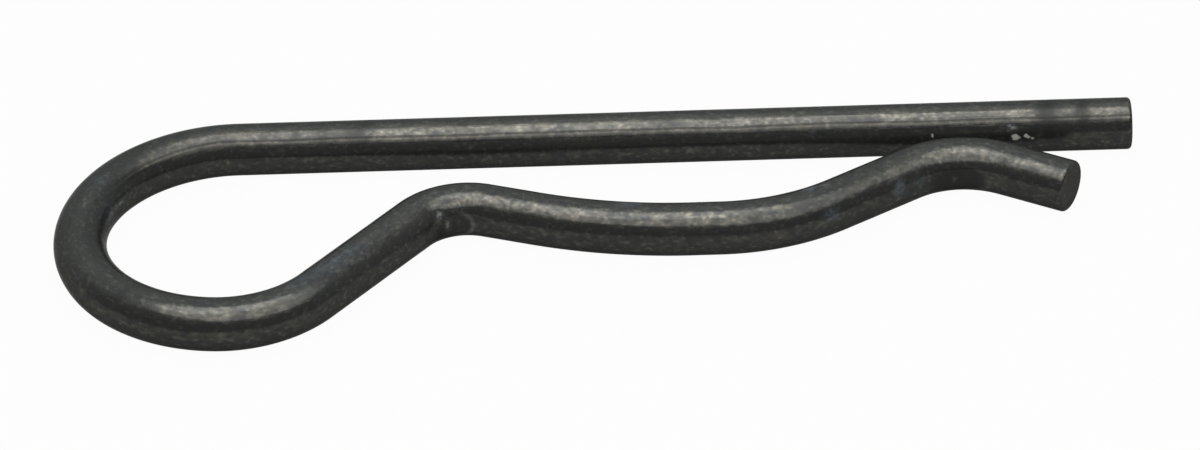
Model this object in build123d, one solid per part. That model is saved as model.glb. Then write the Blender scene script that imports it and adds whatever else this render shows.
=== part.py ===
from build123d import *
import os
from math import cos, radians, sin

# Spring locking pin: one length of round spring wire, bent in one plane.
# A straight leg goes through the cross hole of a shaft. The wire turns back on
# itself in a round eye, climbs to a neck, swells out in a belly that clasps the
# shaft, closes to a throat and ends in a lip that leads it on.
# The wire lies flat. X runs along the straight leg towards its free end, and
# the wavy leg is on the side of -Y. The origin is under the middle of the pin,
# on the surface that it lies on. Millimetres and degrees.
# Bend radii are those of the wire's centreline. Gaps are clear widths, measured
# from the straight leg.

WIRE = 4.0                 # diameter of the wire
LEG = 68.6                 # straight leg, from its free end to the eye
EYE_RADIUS = 11.4          # the eye next to the straight leg
EYE_TURN = 175.0           # how far the eye turns at that radius
EYE_LOW_RADIUS = 8.8       # the tighter bend that closes the eye
INCLINE = 51.0             # slope from the eye up to the neck
NECK_RADIUS = 4.9
NECK_GAP = 4.9             # what the neck leaves open
NECK_SLOPE = 19.0          # slope from the neck down to the belly
BELLY_DROP = 3.5           # how much further out the belly lies than the neck
BELLY_ENTRY_RADIUS = 36.0
BELLY_FLAT = 2.2           # straight stretch at the belly's lowest place
BELLY_EXIT_RADIUS = 16.0
THROAT_SLOPE = 33.5        # slope from the belly up to the throat
THROAT_RADIUS = 7.0
THROAT_GAP = 0.8           # what the throat leaves open
LIP_ANGLE = 29.0           # how far the lip turns away from the straight leg
LIP_LENGTH = 5.5           # straight end of the lip
END_ROUND = 0.3            # rounded rim of both cut ends
NECK_BITE = 0.14           # depth of the flat that the bending pin left in the neck
THROAT_BITE = 0.10         # the same in the throat


def fall(radius, slope):
    """How far a bend leaves its tangent line while it turns through a slope."""
    return radius * (1 - cos(radians(slope)))


def flank(height, slope, first_radius, second_radius):
    """Straight length between two opposed bends that lie a height apart."""
    bends = fall(first_radius + second_radius, slope)
    return (height - bends) / sin(radians(slope))


class Centreline:
    """The wire's centreline, laid stretch by stretch from the leg's free end."""

    def __init__(self, start, direction):
        self.edges = []
        self.end = Vector(start)
        self.direction = Vector(direction)

    def straight(self, length):
        self.add(Line(self.end, self.end + self.direction * length))

    def bend(self, radius, angle):
        """A positive angle turns to the left. Returns the bend's centre."""
        side = 1 if angle > 0 else -1
        centre = self.end + Vector(0, 0, 1).cross(self.direction) * (side * radius)
        self.add(JernArc(self.end, self.direction, radius, angle))
        return centre

    def add(self, edge):
        self.edges.append(edge)
        self.end = edge @ 1
        self.direction = edge % 1


def lay_centreline():
    """The whole line in plan, with the bend centres of the neck and the throat."""
    line = Centreline(start=(0, 0, 0), direction=(-1, 0, 0))
    line.straight(LEG)
    line.bend(EYE_RADIUS, EYE_TURN)
    low_centre = line.bend(EYE_LOW_RADIUS, 180 - EYE_TURN + INCLINE)

    # How far each low or high place of the wavy leg lies from the straight leg
    eye_depth = EYE_LOW_RADIUS - low_centre.Y
    neck_depth = WIRE + NECK_GAP
    belly_depth = neck_depth + BELLY_DROP
    throat_depth = WIRE + THROAT_GAP

    line.straight(flank(eye_depth - neck_depth, INCLINE, EYE_LOW_RADIUS, NECK_RADIUS))
    neck_centre = line.bend(NECK_RADIUS, -(INCLINE + NECK_SLOPE))
    line.straight(flank(BELLY_DROP, NECK_SLOPE, NECK_RADIUS, BELLY_ENTRY_RADIUS))
    line.bend(BELLY_ENTRY_RADIUS, NECK_SLOPE)
    line.straight(BELLY_FLAT)
    line.bend(BELLY_EXIT_RADIUS, THROAT_SLOPE)
    rise = belly_depth - throat_depth
    line.straight(flank(rise, THROAT_SLOPE, BELLY_EXIT_RADIUS, THROAT_RADIUS))
    throat_centre = line.bend(THROAT_RADIUS, -(THROAT_SLOPE + LIP_ANGLE))
    line.straight(LIP_LENGTH)
    return Wire(line.edges), neck_centre, throat_centre


def bent_wire(path):
    """Round wire along the path, with the rims of its two cut ends rounded."""
    section = Plane(origin=path @ 0, z_dir=path % 0) * Circle(WIRE / 2)
    wire = sweep(section, path=path)
    cut_ends = wire.faces().filter_by(GeomType.PLANE)
    return fillet(cut_ends.edges(), END_ROUND)


def bending_pin(centre, bend_radius, bite):
    """The round pin that a bend was formed on, sunk into the wire by its bite."""
    radius = bend_radius - WIRE / 2 + bite
    return Pos(centre) * Cylinder(radius, 2 * WIRE)


def spring_locking_pin():
    path, neck_centre, throat_centre = lay_centreline()
    pin = bent_wire(path)
    pin -= bending_pin(neck_centre, NECK_RADIUS, NECK_BITE)
    pin -= bending_pin(throat_centre, THROAT_RADIUS, THROAT_BITE)
    box = pin.bounding_box()
    return Pos(-box.center().X, -box.center().Y, -box.min.Z) * pin


os.makedirs("parts", exist_ok=True)
export_step(spring_locking_pin(), "parts/spring_wire.step")
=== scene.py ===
# %% [markdown]
# # A spring locking pin
# One length of round spring wire, bent in one plane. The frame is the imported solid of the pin. It
# stays as it is, and gives the place and the thickness of the wire. This script lays a finer skin
# over the same centreline, with what forming left on the steel: drawing lines, a mottled dark
# oxide, the flats of the bending pins, nicks and sheared ends.

# %% Load the frame
import math

import bpy
import numpy as np
from mathutils import Matrix, Vector


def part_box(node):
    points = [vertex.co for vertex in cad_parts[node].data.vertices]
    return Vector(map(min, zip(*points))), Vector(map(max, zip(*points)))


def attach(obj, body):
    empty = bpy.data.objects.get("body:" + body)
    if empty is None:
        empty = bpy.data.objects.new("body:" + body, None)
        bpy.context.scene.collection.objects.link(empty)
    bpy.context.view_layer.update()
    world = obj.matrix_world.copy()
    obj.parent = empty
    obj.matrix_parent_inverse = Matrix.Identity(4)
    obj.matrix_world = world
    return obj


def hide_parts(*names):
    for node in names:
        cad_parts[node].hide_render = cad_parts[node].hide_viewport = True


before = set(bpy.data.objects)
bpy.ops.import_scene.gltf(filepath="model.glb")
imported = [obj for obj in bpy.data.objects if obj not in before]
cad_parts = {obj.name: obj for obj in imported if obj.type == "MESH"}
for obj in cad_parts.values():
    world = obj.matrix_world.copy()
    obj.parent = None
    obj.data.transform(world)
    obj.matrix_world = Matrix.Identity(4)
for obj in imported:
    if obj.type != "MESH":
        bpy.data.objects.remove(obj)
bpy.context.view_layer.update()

MM = 0.001
lowest, highest = (Vector(corner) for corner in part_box("spring_wire"))
print("the solid is", [round(side / MM, 2) for side in highest - lowest], "mm")

# %% [markdown]
# ## The bent centreline
# A wire bender thinks in stretches: so far straight, then so far round at this radius. The skin
# could follow a curve object with a bevel, but then nothing would say how far along and around
# the wire a point is, and every mark on drawn wire runs along it. So the centreline is worked out
# as plain arithmetic, which answers for any distance from the leg's free end.

# %% Sizes of the bends
LEG = 68.6 * MM
EYE_RADIUS = 11.4 * MM
EYE_TURN = 175.0
EYE_LOW_RADIUS = 8.8 * MM
INCLINE = 51.0
NECK_RADIUS = 4.9 * MM
NECK_GAP = 4.9 * MM
NECK_SLOPE = 19.0
BELLY_DROP = 3.5 * MM
BELLY_ENTRY_RADIUS = 36.0 * MM
BELLY_FLAT = 2.2 * MM
BELLY_EXIT_RADIUS = 16.0 * MM
THROAT_SLOPE = 33.5
THROAT_RADIUS = 7.0 * MM
THROAT_GAP = 0.8 * MM
LIP_ANGLE = 29.0
LIP_LENGTH = 5.5 * MM
END_ROUND = 0.3 * MM
NECK_BITE = 0.14 * MM
THROAT_BITE = 0.10 * MM

WIRE_RADIUS = (highest.z - lowest.z) / 2
LEG_END = Vector((highest.x, highest.y - WIRE_RADIUS, lowest.z + WIRE_RADIUS))
print("wire", round(2 * WIRE_RADIUS / MM, 2), "mm thick, leg", round(LEG / MM, 1), "mm long")


# %% A line of straights and bends
class Centreline:
    """Straights and bends in plan, from the leg's free end."""

    def __init__(self, start, heading):
        self.spot = np.array(start, float)
        self.heading = math.radians(heading)
        self.length = 0.0
        self.stretches = []

    def add(self, length, curvature):
        self.stretches.append((self.length, self.spot, self.heading, curvature))
        self.length += length
        self.spot, self.heading = self.step(self.stretches[-1], self.length)

    def straight(self, length):
        self.add(length, 0.0)

    def bend(self, radius, angle):
        """A positive angle turns to the left. Returns the bend's centre."""
        side = math.copysign(1, angle)
        centre = self.spot + side * radius * self.left(self.heading)
        self.add(radius * abs(math.radians(angle)), side / radius)
        return centre

    @staticmethod
    def left(heading):
        return np.stack([-np.sin(heading), np.cos(heading)], axis=-1)

    def step(self, stretch, distance):
        start, spot, heading, curvature = stretch
        ahead = distance - start
        turned = heading + curvature * ahead
        if curvature:
            moved = (self.left(heading) - self.left(turned)) / curvature
        else:
            moved = np.multiply.outer(ahead, [math.cos(heading), math.sin(heading)])
        return spot + moved, turned

    def at(self, distances):
        """Spots and headings at an array of distances."""
        spots = np.zeros((len(distances), 2))
        headings = np.zeros(len(distances))
        starts = [stretch[0] for stretch in self.stretches]
        which = np.searchsorted(starts, distances, side="right") - 1
        for index, stretch in enumerate(self.stretches):
            here = which == index
            spots[here], headings[here] = self.step(stretch, distances[here])
        return spots, headings


# %% [markdown]
# ## The stretches, one after another
# What matters on such a pin are its gaps: how far the neck and the throat stand off the leg. So
# the gaps and the slopes are given, and the straight flanks between opposed bends are worked out
# from them.

# %% Lay the stretches
def fall(radius, slope):
    """How far a bend leaves its tangent line while it turns through a slope."""
    return radius * (1 - math.cos(math.radians(slope)))


def flank(height, slope, first_radius, second_radius):
    """Straight length between two opposed bends that lie a height apart."""
    bends = fall(first_radius + second_radius, slope)
    return (height - bends) / math.sin(math.radians(slope))


line = Centreline((LEG_END.x, LEG_END.y), 180)
line.straight(LEG)
line.bend(EYE_RADIUS, EYE_TURN)
low_centre = line.bend(EYE_LOW_RADIUS, 180 - EYE_TURN + INCLINE)
eye_depth = LEG_END.y - (low_centre[1] - EYE_LOW_RADIUS)
neck_depth = 2 * WIRE_RADIUS + NECK_GAP
belly_depth = neck_depth + BELLY_DROP
throat_depth = 2 * WIRE_RADIUS + THROAT_GAP
line.straight(flank(eye_depth - neck_depth, INCLINE, EYE_LOW_RADIUS, NECK_RADIUS))
neck_centre = line.bend(NECK_RADIUS, -(INCLINE + NECK_SLOPE))
line.straight(flank(BELLY_DROP, NECK_SLOPE, NECK_RADIUS, BELLY_ENTRY_RADIUS))
line.bend(BELLY_ENTRY_RADIUS, NECK_SLOPE)
line.straight(BELLY_FLAT)
line.bend(BELLY_EXIT_RADIUS, THROAT_SLOPE)
line.straight(flank(belly_depth - throat_depth, THROAT_SLOPE, BELLY_EXIT_RADIUS, THROAT_RADIUS))
throat_centre = line.bend(THROAT_RADIUS, -(THROAT_SLOPE + LIP_ANGLE))
line.straight(LIP_LENGTH)
print("wire length", round(line.length / MM, 2), "mm in", len(line.stretches), "stretches")

# %% [markdown]
# ## The skin of the wire
# Rings of points stand square to the centreline, close enough that the bends look smooth and the
# marks have points to move. At each cut end the rings shrink round the rim and then close over
# the end face. Every point also remembers where it was before the wire was bent: that straight
# wire is where the steel's grain runs, so it is kept with the mesh as an attribute.

# %% Rings along and around the wire
RING_STEP = 0.2 * MM
ROUND = 80
RIM_RINGS = 9
FACE_RINGS = 9


def end_rings(radius):
    """Distance from the cut end and radius of the rings over one end face and its rim."""
    flat = radius - END_ROUND
    face = [(0.0, flat * index / FACE_RINGS) for index in range(1, FACE_RINGS)]
    rim = []
    for angle in np.linspace(0, math.pi / 2, RIM_RINGS):
        inward = END_ROUND * (1 - math.cos(angle))
        rim.append((inward, flat + END_ROUND * math.sin(angle)))
    return face + rim


first_end = end_rings(WIRE_RADIUS)
last_end = [(line.length - inward, radius) for inward, radius in reversed(first_end)]
body_count = round((line.length - 2 * END_ROUND) / RING_STEP)
body = np.linspace(END_ROUND, line.length - END_ROUND, body_count)[1:-1]
rings = first_end + [(distance, WIRE_RADIUS) for distance in body] + last_end
ring_distance = np.array([ring[0] for ring in rings])
ring_radius = np.array([ring[1] for ring in rings])
angles = np.linspace(0, 2 * math.pi, ROUND, endpoint=False)
print(len(rings), "rings of", ROUND, "points")

# %% [markdown]
# ## Uneven steel
# Drawn wire isn't a perfect cylinder: the die and the rollers leave long shallow waves of a few
# microns, which make the edge of a reflection wander. Sines of odd wavelengths give such waves.
# They only take steel away, so the skin stays inside the solid.

# %% Long shallow waves
WAVE_DEPTH = 0.006 * MM
# wavelength in millimetres, lobes around the wire, start
WAVES = [(3.1, 2, 0.4), (5.3, 3, 2.1), (7.9, 1, 4.4), (2.3, 5, 1.2), (13.0, 4, 5.2)]


def shallow_waves(distance, angle):
    """How much steel the waves take away at a distance and an angle."""
    total = np.zeros(np.broadcast(distance, angle).shape)
    for length, lobes, start in WAVES:
        phase = 2 * math.pi * distance / (length * MM) + start
        total += np.sin(phase + lobes * angle) * np.cos(lobes * angle - start)
    return WAVE_DEPTH * (0.5 + 0.5 * total / len(WAVES))


distance_grid, angle_grid = np.meshgrid(ring_distance, angles, indexing="ij")
radius_grid = np.repeat(ring_radius[:, None], ROUND, axis=1)
waves = shallow_waves(distance_grid, angle_grid)
radius_grid -= waves * (ring_radius[:, None] / WIRE_RADIUS)
print("the waves take away up to", round(float(waves.max()) / MM, 4), "mm")

# %% [markdown]
# ## Dents and nicks
# Handling and tooling leave small dents. Each is a shallow round hollow at a place along and
# around the wire. A boolean would give hard edges and stray faces, so the ring's points are moved
# in by a smooth bell instead.

# %% Small hollows
DENTS = [
    # distance, angle, length, width, depth: millimetres and degrees
    (124.9, -57.0, 0.55, 0.35, 0.060),
    (125.5, -83.0, 0.35, 0.60, 0.070),
    (123.5, -62.0, 0.40, 0.40, 0.035),
    (9.2, 62.0, 0.45, 0.35, 0.030),
    (9.0, 81.0, 0.55, 0.50, 0.045),
    (7.8, 83.0, 0.50, 0.40, 0.045),
    (15.4, 71.0, 0.40, 0.30, 0.030),
    (84.5, 62.0, 1.40, 0.30, 0.030),
    (88.0, 70.0, 1.00, 0.35, 0.035),
    (92.5, -96.0, 1.60, 0.50, 0.030),
    (32.0, 12.0, 0.60, 0.30, 0.020),
    (58.0, -8.0, 0.70, 0.30, 0.020),
    (139.0, -15.0, 0.60, 0.35, 0.025),
    (150.5, -30.0, 0.50, 0.30, 0.025),
    (170.8, -35.0, 0.50, 0.30, 0.025),
]


def hollow(distance, angle, dent):
    """Depth of one dent at each point."""
    place, turn, length, width, depth = dent
    along = (distance / MM - place) / length
    turned = np.degrees(angle) - turn
    turned = (turned + 180) % 360 - 180
    across = np.radians(turned) * (WIRE_RADIUS / MM) / width
    return depth * MM * np.exp(-(along**2 + across**2))


for dent in DENTS:
    radius_grid -= hollow(distance_grid, angle_grid, dent) * (ring_radius[:, None] / WIRE_RADIUS)
print(len(DENTS), "dents")

# %% [markdown]
# ## From the straight wire to the bent one
# So far each point has only a distance, an angle and a radius. The centreline says where the wire
# is at that distance and which way it heads, so the point is set off to the left of the heading
# and up from it. The straight place is kept beside it for the material.

# %% Points of the skin in space
spots, headings = line.at(ring_distance)
lefts = Centreline.left(headings)
sideways = radius_grid * np.sin(angle_grid)
upward = radius_grid * np.cos(angle_grid)
points = np.zeros(radius_grid.shape + (3,))
points[..., :2] = spots[:, None, :] + sideways[..., None] * lefts[:, None, :]
points[..., 2] = LEG_END.z + upward
unbent = np.stack([distance_grid, sideways, upward], axis=-1)
span = points.max(axis=(0, 1)) - points.min(axis=(0, 1))
print("the skin spans", [round(float(side) / MM, 2) for side in span], "mm")

# %% [markdown]
# ## Flats of the bending pins
# The neck and the throat are bent round small hardened pins, which sink a little into the inside
# of the wire. A point that would lie inside such a pin is moved out to its surface, and the steel
# next to the flat swells by a hair, because it had to go somewhere.

# %% Press the pins in
RIM_WIDTH = 0.35 * MM
RIM_HEIGHT = 0.020 * MM
RIM_REACH = 3 * RIM_WIDTH
RIM_FADE = 2.2


def press(points, centre, bend_radius, bite):
    """Moves the points out of a round pin at the bend's centre."""
    pin_radius = bend_radius - WIRE_RADIUS + bite
    offset = points[..., :2] - centre
    reach = np.linalg.norm(offset, axis=-1)
    inside = reach < pin_radius
    beyond = (reach - pin_radius) / RIM_WIDTH
    swell = np.where(inside, 0.0, RIM_HEIGHT * beyond * np.exp(1 - RIM_FADE * beyond))
    target = np.where(inside, pin_radius, reach - swell)
    near = reach < pin_radius + RIM_REACH
    scale = np.where(near, target / reach, 1.0)
    points[..., :2] = centre + offset * scale[..., None]
    return int(inside.sum())


print("neck flat moved", press(points, neck_centre, NECK_RADIUS, NECK_BITE), "points")
print("throat flat moved", press(points, throat_centre, THROAT_RADIUS, THROAT_BITE), "points")

# %% [markdown]
# ## Painted shade and glint on the pins' flats
# The flat of each pin is painted darker in an oval, as painted shade, and a thin pale arc at the
# oval's far end is a painted glint on the swell beside the flat. The flat alone would not show
# this, because it catches the same light as the wire beside it. So the oval and its arc are kept at
# the points, as two of three numbers called marks_and_painted_light.

# %% The ovals and their arcs
OVAL_EDGE = 0.25
ARC_WIDTH = 0.08
ARC_FADE = 0.5
OVALS = [
    # distance, angle, half length, half width: millimetres and degrees, and strength
    (126.2, -95.0, 2.5, 1.25, 1.0),
    (167.5, -97.0, 3.2, 1.25, 0.4),
]


def oval_reach(distance, angle, place, turn, length, width):
    """0 in the middle of an oval and 1 on its outline, and how far along it a point lies."""
    along = (distance / MM - place) / length
    turned = (np.degrees(angle) - turn + 180) % 360 - 180
    across = np.radians(turned) * (WIRE_RADIUS / MM) / width
    return np.hypot(along, across), along


marks_and_painted_light = np.zeros_like(points)
for *oval, strength in OVALS:
    reach, side = oval_reach(distance_grid, angle_grid, *oval)
    outline = np.exp(-(((reach - 1.0) / ARC_WIDTH) ** 2))
    # painted shade over the flat
    marks_and_painted_light[..., 0] += strength * np.clip((1.0 - reach) / OVAL_EDGE, 0.0, 1.0)
    # painted glint along the flat's far edge
    marks_and_painted_light[..., 1] += strength * outline * np.clip(side / ARC_FADE, 0.0, 1.0)
print(len(OVALS), "ovals")

# %% [markdown]
# ## Dull, blue and scuffed spots
# In places the oxide is thicker and takes no shine, which breaks the long highlight of the leg.
# In others it has a blue temper colour, or is scuffed pale. One dark spot in the neck's inner
# crease is painted shade, and sits among the dull spots. All are soft and coarse enough to be kept
# at the points of the mesh, beside the painted flats of the pins.

# %% Place the spots
DULL_SPOTS_AND_CREASE_SHADE = [
    # distance, angle, length, width: millimetres and degrees, and strength from 0 to 1
    (3.8, 24.0, 0.62, 1.3, 1.1),
    (6.5, 24.0, 0.95, 1.4, 1.2),
    (20.2, 30.0, 0.60, 0.7, 0.4),
    (35.5, 24.0, 1.60, 0.8, 0.3),
    (51.2, 20.0, 0.90, 0.7, 0.3),
    (59.3, 25.0, 1.20, 1.1, 0.8),
    (62.0, 28.0, 0.70, 1.0, 0.6),
    (64.0, 20.0, 0.35, 0.8, 0.4),
    (70.5, 20.0, 4.50, 1.0, 0.35),
    (78.5, 15.0, 4.50, 1.2, 0.5),
    (85.0, 55.0, 4.50, 1.0, 0.5),
    (89.8, 10.0, 4.00, 1.4, 0.4),
    (96.5, -10.0, 2.00, 1.2, 0.3),
    (107.5, 2.0, 6.00, 0.8, 0.12),
    (111.6, -20.0, 1.20, 0.8, 0.4),
    # painted shade in the neck's inner crease, not thicker oxide
    (124.0, -108.0, 1.30, 0.6, 0.8),
    (149.6, -35.0, 0.50, 0.6, 0.5),
    (154.2, -30.0, 1.20, 0.8, 0.4),
    (158.5, -28.0, 2.50, 0.8, 0.35),
    (162.3, -25.0, 0.80, 0.8, 0.3),
    (171.8, -30.0, 0.40, 0.6, 0.4),
]
BLUE_SPOTS = [
    (81.3, 4.0, 0.40, 0.45, 0.7),
    (83.6, 70.0, 1.50, 0.40, 0.8),
    (111.0, 8.0, 2.20, 0.70, 0.25),
    (114.5, -8.0, 3.00, 0.80, 0.25),
    (140.6, 14.0, 0.90, 0.40, 0.6),
    (154.6, 16.0, 0.50, 0.50, 0.7),
    (155.2, -68.0, 0.55, 0.45, 0.8),
    (161.3, -70.0, 0.50, 0.60, 1.0),
    (163.1, -74.0, 0.45, 0.50, 0.6),
]
SCUFFS = [
    (9.25, 57.5, 0.30, 0.24, 1.5),
    (7.20, 80.0, 0.40, 0.30, 0.2),
    (24.5, 57.0, 0.20, 0.16, 0.3),
    (50.8, 67.0, 0.20, 0.16, 0.3),
    (53.1, 84.0, 0.60, 0.16, 0.25),
    (81.6, 75.0, 0.30, 0.22, 0.5),
    (83.0, 73.0, 1.10, 0.18, 0.25),
    (124.7, -57.0, 0.42, 0.28, 1.1),
    (125.5, -87.0, 0.26, 0.44, 0.75),
    (127.0, -87.6, 0.30, 0.20, 0.2),
    (155.8, 8.0, 0.30, 0.30, 0.2),
    (167.0, -93.0, 0.25, 0.20, 0.25),
]


def spots_of(rows):
    """The sum of soft round spots over the skin, from 0 to 1."""
    total = sum(hollow(distance_grid, angle_grid, row) for row in rows) / MM
    return np.minimum(total, 1.0)


marks_and_painted_light[..., 2] = spots_of(DULL_SPOTS_AND_CREASE_SHADE)
tints_and_painted_shade = np.zeros_like(points)
tints_and_painted_shade[..., 0] = spots_of(BLUE_SPOTS)
tints_and_painted_shade[..., 1] = spots_of(SCUFFS)
print(len(DULL_SPOTS_AND_CREASE_SHADE + BLUE_SPOTS + SCUFFS), "spots")

# %% [markdown]
# ## Painted shade on the throat's flat face
# The flat face on the inside of the throat catches less light, and that shade is painted into the
# colour as a darker face with a sharp start and a soft end. It is a mask of two ramps along the
# wire and one around it.

# %% The darker face of the throat
FACE_START = 164.3
FACE_END = 170.4
FACE_SHARP = 0.15
FACE_SOFT = 1.2
FACE_TOP = -60.0
FACE_TOP_SOFT = 6.0


def ramp(values, low, high):
    """0 below low and 1 above high, straight in between."""
    return np.clip((values - low) / (high - low), 0.0, 1.0)


face_along = ramp(distance_grid / MM, FACE_START, FACE_START + FACE_SHARP)
face_along *= 1 - ramp(distance_grid / MM, FACE_END - FACE_SOFT, FACE_END)
face_turn = (np.degrees(angle_grid) + 180) % 360 - 180
tints_and_painted_shade[..., 2] = face_along * (1 - ramp(face_turn, FACE_TOP - FACE_TOP_SOFT, FACE_TOP))
print("the face covers", int((tints_and_painted_shade[..., 2] > 0.5).sum()), "points")

# %% [markdown]
# ## From points to a mesh
# The rings are joined by quads, and a fan of triangles closes each end face on one middle point.
# Building the mesh from lists keeps the order of the points, so the unbent places, the marks and
# the tints can be stored with them as they stand in the arrays.

# %% Build the mesh
ring_count = len(rings)
grid = np.arange(ring_count * ROUND).reshape(ring_count, ROUND)
ahead = np.roll(grid, -1, axis=1)
quads = np.stack([grid[:-1], ahead[:-1], ahead[1:], grid[1:]], axis=-1).reshape(-1, 4)
first_middle = ring_count * ROUND
last_middle = first_middle + 1
middles = np.array([points[0].mean(axis=0), points[-1].mean(axis=0)])
middles_unbent = np.array([[0.0, 0.0, 0.0], [line.length, 0.0, 0.0]])
first_fan = [(first_middle, int(ahead[0, i]), int(grid[0, i])) for i in range(ROUND)]
last_fan = [(last_middle, int(grid[-1, i]), int(ahead[-1, i])) for i in range(ROUND)]
vertices = np.vstack([points.reshape(-1, 3), middles])
mesh = bpy.data.meshes.new("wire_skin")
mesh.from_pydata(vertices.tolist(), [], quads.tolist() + first_fan + last_fan)
mesh.validate()
wire = bpy.data.objects.new("wire_skin", mesh)
bpy.context.collection.objects.link(wire)
mesh.shade_smooth()


def keep_with_mesh(name, values, at_middles):
    """Stores three numbers for every point of the skin."""
    attribute = mesh.attributes.new(name, "FLOAT_VECTOR", "POINT")
    rows = np.vstack([values.reshape(-1, 3), at_middles])
    attribute.data.foreach_set("vector", rows.astype(np.float32).ravel())


keep_with_mesh("unbent", unbent, middles_unbent)
keep_with_mesh("marks_and_painted_light", marks_and_painted_light, np.zeros((2, 3)))
keep_with_mesh("tints_and_painted_shade", tints_and_painted_shade, np.zeros((2, 3)))
print(len(mesh.vertices), "points and", len(mesh.polygons), "faces")

# %% [markdown]
# ## A flat layout for baking
# To bake a material, each face needs a place of its own on a square page. An automatic unwrap
# would cut the long tube anywhere. Here the strip of skin is cut into rows, like lines of text on
# a page, and the two end faces lie above them as discs.

# %% Lay the skin flat
ROWS = 4
MARGIN = 0.01
FACE_SIZE = 0.09
DISC_SHARE = 0.9
FACE_QUADS = FACE_RINGS + RIM_RINGS // 2 - 1
row_length = line.length / ROWS
row_height = (1 - FACE_SIZE) / ROWS


def on_row(distance, column, row):
    """Place of a corner in a row of the layout. The wire's girth goes up the page."""
    x = MARGIN + (distance / row_length - row) * (1 - 2 * MARGIN)
    y = (row + MARGIN + column / ROUND * (1 - 2 * MARGIN)) * row_height
    return np.stack([x, y], axis=-1)


def on_disc(middle, radius, column):
    """Place of a corner on the disc of one end face, above the rows."""
    turn = column / ROUND * 2 * math.pi
    size = radius / WIRE_RADIUS * FACE_SIZE / 2 * DISC_SHARE
    x = middle + size * np.sin(turn)
    y = 1 - FACE_SIZE / 2 + size * np.cos(turn)
    return np.stack([x, y], axis=-1)


def lay_flat():
    layer = mesh.uv_layers.new(name="OFBake")
    layout = np.zeros((len(mesh.loops), 2))
    ring, column = np.divmod(np.arange(len(quads)), ROUND)
    middle = (ring_distance[ring] + ring_distance[ring + 1]) / 2
    row = np.minimum((middle / row_length).astype(int), ROWS - 1)
    first = ring < FACE_QUADS
    last = ring >= ring_count - 1 - FACE_QUADS
    corners = [(0, 0), (0, 1), (1, 1), (1, 0)]
    for index, (step, side) in enumerate(corners):
        places = on_row(ring_distance[ring + step], column + side, row)
        for middle_x, here in ((0.25, first), (0.75, last)):
            discs = on_disc(middle_x, ring_radius[ring + step], column + side)
            places[here] = discs[here]
        layout[index : 4 * len(quads) : 4] = places
    fan = 4 * len(quads)
    columns = np.arange(ROUND)
    for middle_x, order in ((0.25, (1, 0)), (0.75, (0, 1))):
        layout[fan : fan + 3 * ROUND : 3] = (middle_x, 1 - FACE_SIZE / 2)
        for index, side in enumerate(order):
            places = on_disc(middle_x, ring_radius[0], columns + side)
            layout[fan + 1 + index : fan + 3 * ROUND : 3] = places
        fan += 3 * ROUND
    layer.data.foreach_set("uv", layout.astype(np.float32).ravel())


lay_flat()
print(ROWS, "rows and two discs in the layout")

# %% [markdown]
# ## Nodes as arithmetic
# A material is a graph of nodes, but most of it is plain maths, which reads better as
# expressions. `Signal` wraps a socket whose number changes over the surface, and adds a Math node
# for each operator. `Finish` makes any other node from its type, its settings and its sockets.

# %% Signal and Finish
class Signal:
    """A value that changes over a surface, with the operators used below."""

    def __init__(self, finish, socket):
        self.finish = finish
        self.socket = socket

    def math(self, operation, first, second):
        return self.finish.node("ShaderNodeMath", {"operation": operation}, {0: first, 1: second})

    def __add__(self, other):
        return self.math("ADD", self, other)

    def __sub__(self, other):
        return self.math("SUBTRACT", self, other)

    def __mul__(self, other):
        return self.math("MULTIPLY", self, other)

    def __rsub__(self, other):
        return self.math("SUBTRACT", other, self)

    __radd__ = __add__
    __rmul__ = __mul__

    def between(self, low, high):
        """0 below low and 1 above high, smooth in between. It may fall from low to high too."""
        settings = {"interpolation_type": "SMOOTHSTEP"}
        return self.finish.node("ShaderNodeMapRange", settings, {0: self, 1: low, 2: high})


class Finish:
    """Makes the nodes of one material, or of the world."""

    def __init__(self, owner):
        owner.use_nodes = True
        self.tree = owner.node_tree
        self.tree.nodes.clear()

    def node(self, kind, settings=None, sockets=None, output=0):
        """One node. Returns one of its outputs, if it has any."""
        node = self.tree.nodes.new(kind)
        for name, value in (settings or {}).items():
            setattr(node, name, value)
        for name, value in (sockets or {}).items():
            if isinstance(value, Signal):
                self.tree.links.new(value.socket, node.inputs[name])
            else:
                node.inputs[name].default_value = value
        return Signal(self, node.outputs[output]) if node.outputs else None

    def blend(self, factor, first, second):
        """One colour laid over another."""
        settings = {"data_type": "RGBA"}
        return self.node("ShaderNodeMix", settings, {0: factor, 6: first, 7: second}, 2)


# %% [markdown]
# ## Patterns on the unbent wire
# The mottle is noise in the straight wire's own space, stretched along it: a pattern 14 mm long
# and 0.16 mm wide is a bundle of drawing lines, one of about 1 by 0.75 mm is the grain of the
# oxide. They follow every bend by themselves, and have no seam, because the noise is a solid that
# the skin cuts through.

# %% Noise by length and width
dark_spring_steel = bpy.data.materials.new("dark_spring_steel")
steel = Finish(dark_spring_steel)
place = steel.node("ShaderNodeAttribute", {"attribute_name": "unbent"}, output="Vector")


def stretched(length, width, shift=0.0):
    """The unbent place, counted in pattern lengths and widths given in millimetres."""
    scale = (1 / (length * MM), 1 / (width * MM), 1 / (width * MM))
    sockets = {0: place, 1: scale, 2: (shift, shift, shift)}
    return steel.node("ShaderNodeVectorMath", {"operation": "MULTIPLY_ADD"}, sockets)


def mottle(length, width, detail=2.0, rough=0.5, shift=0.0):
    """Noise from 0 to 1 whose spots have about this length and width."""
    sockets = {"Vector": stretched(length, width, shift), "Scale": 1.0}
    sockets |= {"Detail": detail, "Roughness": rough}
    return steel.node("ShaderNodeTexNoise", {"noise_dimensions": "3D"}, sockets)


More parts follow.
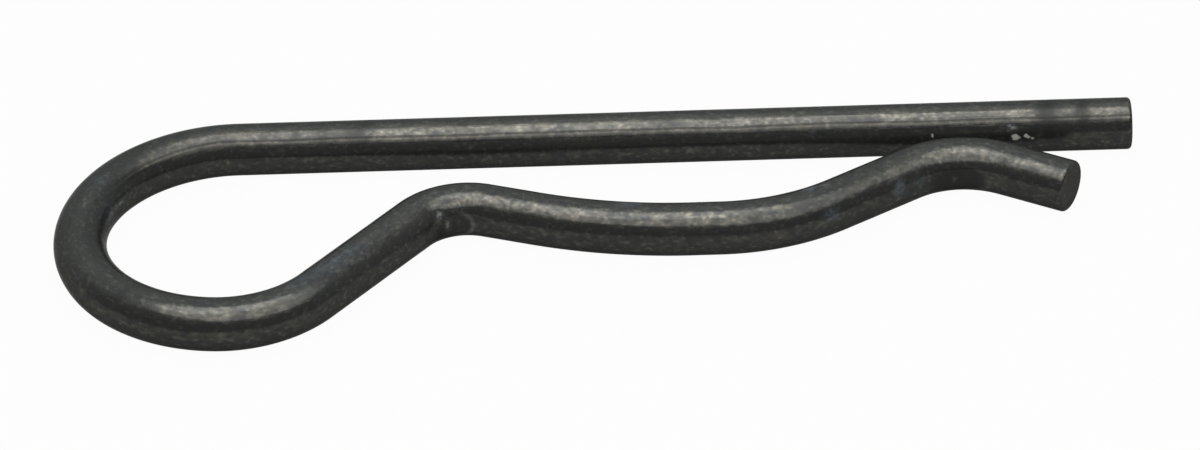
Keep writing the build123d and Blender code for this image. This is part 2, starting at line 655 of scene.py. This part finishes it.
drawing_lines = mottle(14.0, 0.16, 1.0, 0.5)
grain = mottle(1.05, 0.75, 2.0, 0.55, 3.0)
crumbs = mottle(0.55, 0.38, 1.0, 0.6, 11.0)
hue = mottle(0.70, 0.50, 1.0, 0.5, 23.0)
sparkle = mottle(0.38, 0.27, 0.0, 0.5, 47.0)
patches = mottle(7.0, 2.4, 2.0, 0.5, 19.0)
clouds = mottle(11.0, 3.5, 1.0, 0.5, 31.0)
print(len(steel.tree.nodes), "nodes for the patterns")

# %% [markdown]
# ## Where on the wire
# The three attributes come back as vectors, and their parts are split here into plain signals:
# how far along and around the wire a point is, and how strong each mark and tint is there.

# %% Signals from the attributes
END_INNER = 0.16 * MM
END_OUTER = 0.06 * MM


def parts_of(vector):
    """The three numbers of a vector."""
    return [steel.node("ShaderNodeSeparateXYZ", {}, {0: vector}, letter) for letter in "XYZ"]


def kept(name):
    """The three numbers that the mesh keeps under a name."""
    return parts_of(steel.node("ShaderNodeAttribute", {"attribute_name": name}, output="Vector"))


along, sideways_part, upward_part = parts_of(place)
turn = steel.node("ShaderNodeMath", {"operation": "ARCTAN2"}, {0: sideways_part, 1: upward_part})
# The marks hold painted shade on the pins' flats, a painted glint at their far edges, and the dull
# spots, with painted shade in one crease.
painted_flat_shade, rim, dull_and_crease_shade = kept("marks_and_painted_light")
# The third tint is painted shade on the throat's flat face.
blue_spot, scuff, throat_face_painted_shade = kept("tints_and_painted_shade")
end_face = along.between(END_INNER, END_OUTER)
end_face = end_face + along.between(line.length - END_INNER, line.length - END_OUTER)
print(len(steel.tree.nodes), "nodes so far")

# %% [markdown]
# ## Worn spots and blue patches
# The oxide is a thin dark skin. It is broken by crumbs of paler steel, fewer low on the sides,
# where nothing rubs it, and here and there it has a faint blue temper colour. Thresholds on the
# noise pick out both. The listed spots are broken up by the same noise.

# %% Masks of the oxide
crumble = (grain * 0.5 + crumbs * 0.5).between(0.32, 0.70)
aside = steel.node("ShaderNodeMath", {"operation": "ABSOLUTE"}, {0: turn})
sheltered = aside.between(1.35, 1.75)
worn = crumble * (patches.between(0.28, 0.62) * 0.6 + 0.4) * (1 - sheltered * 0.35)
bright = sparkle.between(0.50, 0.78) * crumble
blue = clouds.between(0.58, 0.70) * patches.between(0.45, 0.60) * 0.4
blue_spot = blue_spot * (crumbs.between(0.38, 0.58) * 0.7 + 0.3)
scuff = scuff * (sparkle.between(0.40, 0.58) * 0.65 + 0.35)
print(len(steel.tree.nodes), "nodes so far")

# %% [markdown]
# ## The long score and the edges of the highlight
# The die drew one score into the wire: a thin dark line that runs along the leg and into the eye.
# Its darkness is partly the score and partly painted shade, for a dark gap in the reflected light.
# A pale line on its lower side is partly a ridge of steel and partly painted highlight, and the
# darker strip below that is painted shade. The paler top of the leg is painted highlight. All four
# are bands of the angle around the wire, in radians, and slow noise makes the score wander a
# little.

# %% Score, ridge, painted shade strip and painted highlight on top
SCORE_ANGLE = 36.8
SCORE_END = 84.0 * MM
SCORE_FADE = 8.0 * MM
SCORE_WANDER = 0.16
RIDGE_OFFSET = 0.10
wander = (mottle(9.0, 40.0, 1.0, 0.5, 57.0) - 0.5) * SCORE_WANDER
from_score = turn - math.radians(SCORE_ANGLE) - wander
from_ridge = from_score - RIDGE_OFFSET
score_gap = steel.node("ShaderNodeMath", {"operation": "ABSOLUTE"}, {0: from_score})
scored = along.between(SCORE_END, SCORE_END - SCORE_FADE)
# darker line: partly the score, partly painted shade
score_and_painted_shade = score_gap.between(0.062, 0.028) * scored * (drawing_lines * 0.5 + 0.6)
# pale line: partly a ridge, partly painted highlight
ridge_and_painted_highlight = from_ridge.between(-0.035, 0.0) * from_ridge.between(0.045, 0.01) * scored
# painted shade below the highlight
painted_shade_below_score = turn.between(0.73, 0.84) * turn.between(0.98, 0.87) * scored
on_leg = along.between(78.0 * MM, 70.0 * MM)
# painted highlight on top of the leg
painted_highlight_top = turn.between(0.02, 0.14) * turn.between(0.44, 0.30) * on_leg
print("the score fades out by", round(SCORE_END / MM), "mm")

# %% [markdown]
# ## Bright nicks
# A nick has cut through the oxide to bare metal. Each is listed as a distance along the
# wire and an angle around it, like the dents. The mask is worked out from how far a point of the
# skin is from the nick's own place on the unbent wire.

# %% Place the nicks
NICK_RAGGED = 2.4
NICK_OUTER = 1.45
NICK_INNER = 0.55
NICKS = [
    # distance, angle, radius: millimetres and degrees
    (9.16, 79.0, 0.19),
    (8.92, 83.0, 0.20),
    (8.15, 79.0, 0.14),
    (7.95, 82.0, 0.16),
    (7.72, 85.5, 0.13),
    (15.35, 72.0, 0.11),
]


def nick_mask(distance, angle, radius):
    """1 in a nick with a ragged edge, 0 around it."""
    around = math.radians(angle)
    spot = (distance * MM, WIRE_RADIUS * math.sin(around), WIRE_RADIUS * math.cos(around))
    sockets = {0: place, 1: spot}
    gap = steel.node("ShaderNodeVectorMath", {"operation": "DISTANCE"}, sockets, "Value")
    ragged = gap * (1 / MM) + (sparkle - 0.5) * (radius * NICK_RAGGED)
    return ragged.between(radius * NICK_OUTER, radius * NICK_INNER)


nicks = nick_mask(*NICKS[0])
for nick in NICKS[1:]:
    nicks = nicks + nick_mask(*nick)
print(len(NICKS), "nicks")

# %% [markdown]
# ## The steel itself
# Oil-tempered spring steel is almost black, and its oxide still shines like metal. Part of it is
# matte, which keeps the shade from going black. The mottle works through the colour, because the
# colour of a metal is how strongly it mirrors: it shows in the highlights and fades in the shade,
# as in the photograph. Each mask is multiplied by the share that it takes.

# %% Colours of the steel
DARK_OXIDE = (0.0450, 0.0480, 0.0475, 1.0)
WORN_STEEL_AND_PAINTED_HIGHLIGHT = (0.104, 0.100, 0.087, 1.0)
WARM_STEEL = (0.078, 0.067, 0.053, 1.0)
BLUE_OXIDE = (0.082, 0.095, 0.112, 1.0)
BLUE_SPOT = (0.120, 0.145, 0.180, 1.0)
PALE_SCUFF_AND_GLINT = (0.300, 0.305, 0.310, 1.0)
BRIGHT_CRUMB = (0.185, 0.177, 0.158, 1.0)
DULL_STEEL_AND_PAINTED_SHADE = (0.030, 0.031, 0.030, 1.0)
BARE_STEEL = (0.50, 0.49, 0.46, 1.0)

# The paler top of the leg and the pale line under the score lift the colour as painted highlight.
share = worn * 0.85 + painted_highlight_top * 0.35 + ridge_and_painted_highlight * 0.45
colour = steel.blend(steel.node("ShaderNodeClamp", {}, {0: share}), DARK_OXIDE, WORN_STEEL_AND_PAINTED_HIGHLIGHT)
colour = steel.blend(bright * 0.5, colour, BRIGHT_CRUMB)
colour = steel.blend(hue.between(0.50, 0.70) * 0.18, colour, WARM_STEEL)
colour = steel.blend(blue * 0.35, colour, BLUE_OXIDE)
colour = steel.blend(blue_spot * 0.8, colour, BLUE_SPOT)
# Painted shade: the flats' ovals, the throat's face, the strip below the score, part of the score
# and one crease spot; the other dull spots are dull oxide.
dullness_and_painted_shade = painted_flat_shade * 0.55 + throat_face_painted_shade * 0.6 + score_and_painted_shade * 0.7 + painted_shade_below_score * 0.62 + dull_and_crease_shade * 0.9
colour = steel.blend(steel.node("ShaderNodeClamp", {}, {0: dullness_and_painted_shade}), colour, DULL_STEEL_AND_PAINTED_SHADE)
# The pale arc at each flat's far end is a painted glint.
colour = steel.blend(rim * 0.28, colour, PALE_SCUFF_AND_GLINT)
colour = steel.blend(scuff * 0.8, colour, PALE_SCUFF_AND_GLINT)
shown = steel.node("ShaderNodeClamp", {}, {0: nicks})
colour = steel.blend(shown, colour, BARE_STEEL)
print(len(steel.tree.nodes), "nodes so far")

# %% Gloss and bump
EDGE_TINT = (0.34, 0.34, 0.34, 1.0)
EDGE_SHINE = 0.35
BUMP_STRENGTH = 0.35
BUMP_DEPTH = 0.04 * MM

roughness = 0.205 + (grain - 0.5) * 0.12 + (patches - 0.5) * 0.16 + dull_and_crease_shade * 0.16 + end_face * 0.15
relief = grain + crumbs * 0.6 + drawing_lines * 0.35 - score_and_painted_shade * 0.5
bump_sockets = {"Strength": BUMP_STRENGTH, "Distance": BUMP_DEPTH, "Height": relief}
normal = steel.node("ShaderNodeBump", {}, bump_sockets)
metallic = 0.58 + worn * 0.34 - shown * 0.55 - scuff * 0.5 - blue_spot * 0.4 - rim * 0.1
steel_sockets = {
    "Base Color": colour,
    "Roughness": roughness,
    "Metallic": metallic,
    "Specular IOR Level": EDGE_SHINE,
    "Specular Tint": EDGE_TINT,
    "Normal": normal,
}
shader = steel.node("ShaderNodeBsdfPrincipled", {}, steel_sockets)
steel.node("ShaderNodeOutputMaterial", {}, {"Surface": shader})
mesh.materials.append(dark_spring_steel)
print(len(steel.tree.nodes), "nodes in the steel")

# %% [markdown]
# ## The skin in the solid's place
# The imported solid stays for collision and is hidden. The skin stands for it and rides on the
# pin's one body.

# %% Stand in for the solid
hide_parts("spring_wire")
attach(wire, "root")
print(wire.name, "stands for spring_wire")

# %% [markdown]
# ## Floor
# The pin lies on a plain white floor. For the camera, and in reflections, part of its white is
# its own light at strength 1, so it stays white without more light on the steel, and the rest is
# lit, so that the pin still has its shadow.

# %% White floor
FLOOR_SIZE = 4.0
FLOOR_GAP = 0.02 * MM
FLOOR_PAINT = (0.345, 0.350, 0.340, 1.0)
WHITE = (1.0, 1.0, 1.0, 1.0)
CAMERA_GLOW = 0.97
MIRROR_GLOW = 0.22
floor_mesh = bpy.data.meshes.new("floor")
half = FLOOR_SIZE / 2
floor_corners = [(-half, -half, 0), (half, -half, 0), (half, half, 0), (-half, half, 0)]
floor_mesh.from_pydata(floor_corners, [], [(0, 1, 2, 3)])
floor = bpy.data.objects.new("floor", floor_mesh)
floor.location.z = lowest.z - FLOOR_GAP
bpy.context.collection.objects.link(floor)

white_floor = bpy.data.materials.new("white_floor")
paper = Finish(white_floor)
matte = paper.node("ShaderNodeBsdfDiffuse", {}, {"Color": FLOOR_PAINT})
glow = paper.node("ShaderNodeEmission", {}, {"Color": WHITE, "Strength": 1.0})
seen = paper.node("ShaderNodeLightPath", output="Is Camera Ray")
mirrored = paper.node("ShaderNodeLightPath", output="Is Glossy Ray")
passed = paper.node("ShaderNodeLightPath", output="Is Transmission Ray")
glow_share = seen * CAMERA_GLOW + (mirrored + passed) * MIRROR_GLOW
floor_shader = paper.node("ShaderNodeMixShader", {}, {0: glow_share, 1: matte, 2: glow})
paper.node("ShaderNodeOutputMaterial", {}, {"Surface": floor_shader})
floor_mesh.materials.append(white_floor)
print("floor", FLOOR_SIZE, "m wide")

# %% [markdown]
# ## Light
# The wire is its own light meter: each spot of it mirrors one direction of the room, so the
# highlights of the bent wire tell where the light came from. They show one large soft box above
# the pin that leans to the front and is turned a little, with a brighter middle overhead, and a
# dim cool ceiling farther up. Each is an oval area lamp at a direction from the pin, turned to
# face it.

# %% Soft boxes
LAMPS = [
    # name, lean to +X and to +Y, width and depth as seen from the pin, twist about its own
    # direction, distance, radiance, colour
    ("overhead_lamp", -6, 6, 42, 34, 0, 0.62, 1.8, (1.0, 0.99, 0.975)),
    ("soft_box", 6, -11, 78, 64, -26, 0.60, 2.3, (1.0, 0.975, 0.93)),
    ("ceiling", -11, 20, 80, 72, 0, 0.90, 0.30, (0.87, 0.95, 1.0)),
]


def add_lamp(name, lean_x, lean_y, width, depth, twist, distance, radiance, colour):
    """Angles in degrees from straight up. Radiance is 1 where a white surface looks white."""
    lean = math.hypot(lean_x, lean_y)
    toward = Vector((lean_x, lean_y, 0)).normalized() * math.sin(math.radians(lean))
    toward.z = math.cos(math.radians(lean))
    data = bpy.data.lights.new(name, "AREA")
    data.shape = "ELLIPSE"
    data.size = 2 * distance * math.tan(math.radians(width / 2))
    data.size_y = 2 * distance * math.tan(math.radians(depth / 2))
    area = math.pi / 4 * data.size * data.size_y
    data.energy = radiance * math.pi * area
    data.color = colour
    lamp = bpy.data.objects.new(name, data)
    lamp.location = toward * distance
    facing = toward.to_track_quat("Z", "Y").to_matrix()
    lamp.rotation_euler = (facing @ Matrix.Rotation(math.radians(twist), 3, "Z")).to_euler()
    bpy.context.collection.objects.link(lamp)
    return data.energy


for lamp_row in LAMPS:
    print(lamp_row[0], round(add_lamp(*lamp_row), 2), "W")

# %% [markdown]
# ## The room
# The sides of the wire mirror the room itself. It is dim and cool, dark in front where the camera
# stands and paler behind the pin, so the world's strength follows the direction's part to +Y.

# %% A dim room, paler behind the pin
ROOM_FRONT = 0.16
ROOM_BACK = 0.69
FADE_START = -0.45
FADE_END = 1.05
ROOM_COLOUR = (0.88, 0.95, 1.0, 1.0)
world = bpy.data.worlds.new("room")
bpy.context.scene.world = world
room = Finish(world)
direction = room.node("ShaderNodeTexCoord", output="Generated")
depth = room.node("ShaderNodeSeparateXYZ", {}, {0: direction}, "Y")
strength = ROOM_FRONT + depth.between(FADE_START, FADE_END) * (ROOM_BACK - ROOM_FRONT)
backdrop = room.node("ShaderNodeBackground", {}, {"Color": ROOM_COLOUR, "Strength": strength})
room.node("ShaderNodeOutputWorld", {}, {"Surface": backdrop})
print("room strength from", ROOM_FRONT, "to", ROOM_BACK)

# %% [markdown]
# ## Camera
# The camera was found by fitting the bent centreline to the photograph's outline: it looks down
# at 35 degrees from the open side, a little rolled, through a long lens from about 40 cm.

# %% Camera
CAMERA_AZIMUTH = 0.67
CAMERA_ELEVATION = 35.04
CAMERA_ROLL = -2.085
CAMERA_DISTANCE = 402.2 * MM
CAMERA_TARGET = Vector((0.11 * MM, -0.15 * MM, LEG_END.z))
FOCAL_PIXELS = 5352.0
FRAME_WIDTH = 1200
SENSOR_WIDTH = 36.0
CLIP_START = 10 * MM


def camera_matrix():
    azimuth = math.radians(CAMERA_AZIMUTH)
    elevation = math.radians(CAMERA_ELEVATION)
    level = math.cos(elevation)
    back = Vector((math.sin(azimuth) * level, -math.cos(azimuth) * level, math.sin(elevation)))
    right = Vector((0, 0, 1)).cross(back).normalized()
    up = back.cross(right)
    facing = Matrix((right, up, back)).transposed().to_4x4()
    roll = Matrix.Rotation(math.radians(CAMERA_ROLL), 4, "Z")
    return Matrix.Translation(CAMERA_TARGET + back * CAMERA_DISTANCE) @ facing @ roll


camera_data = bpy.data.cameras.new("camera")
camera_data.sensor_fit = "HORIZONTAL"
camera_data.sensor_width = SENSOR_WIDTH
camera_data.lens = FOCAL_PIXELS / FRAME_WIDTH * SENSOR_WIDTH
camera_data.clip_start = CLIP_START
camera = bpy.data.objects.new("camera", camera_data)
camera.matrix_world = camera_matrix()
bpy.context.collection.objects.link(camera)
bpy.context.scene.camera = camera
bpy.context.scene.view_settings.view_transform = "Standard"
print("lens", round(camera_data.lens, 1), "mm")
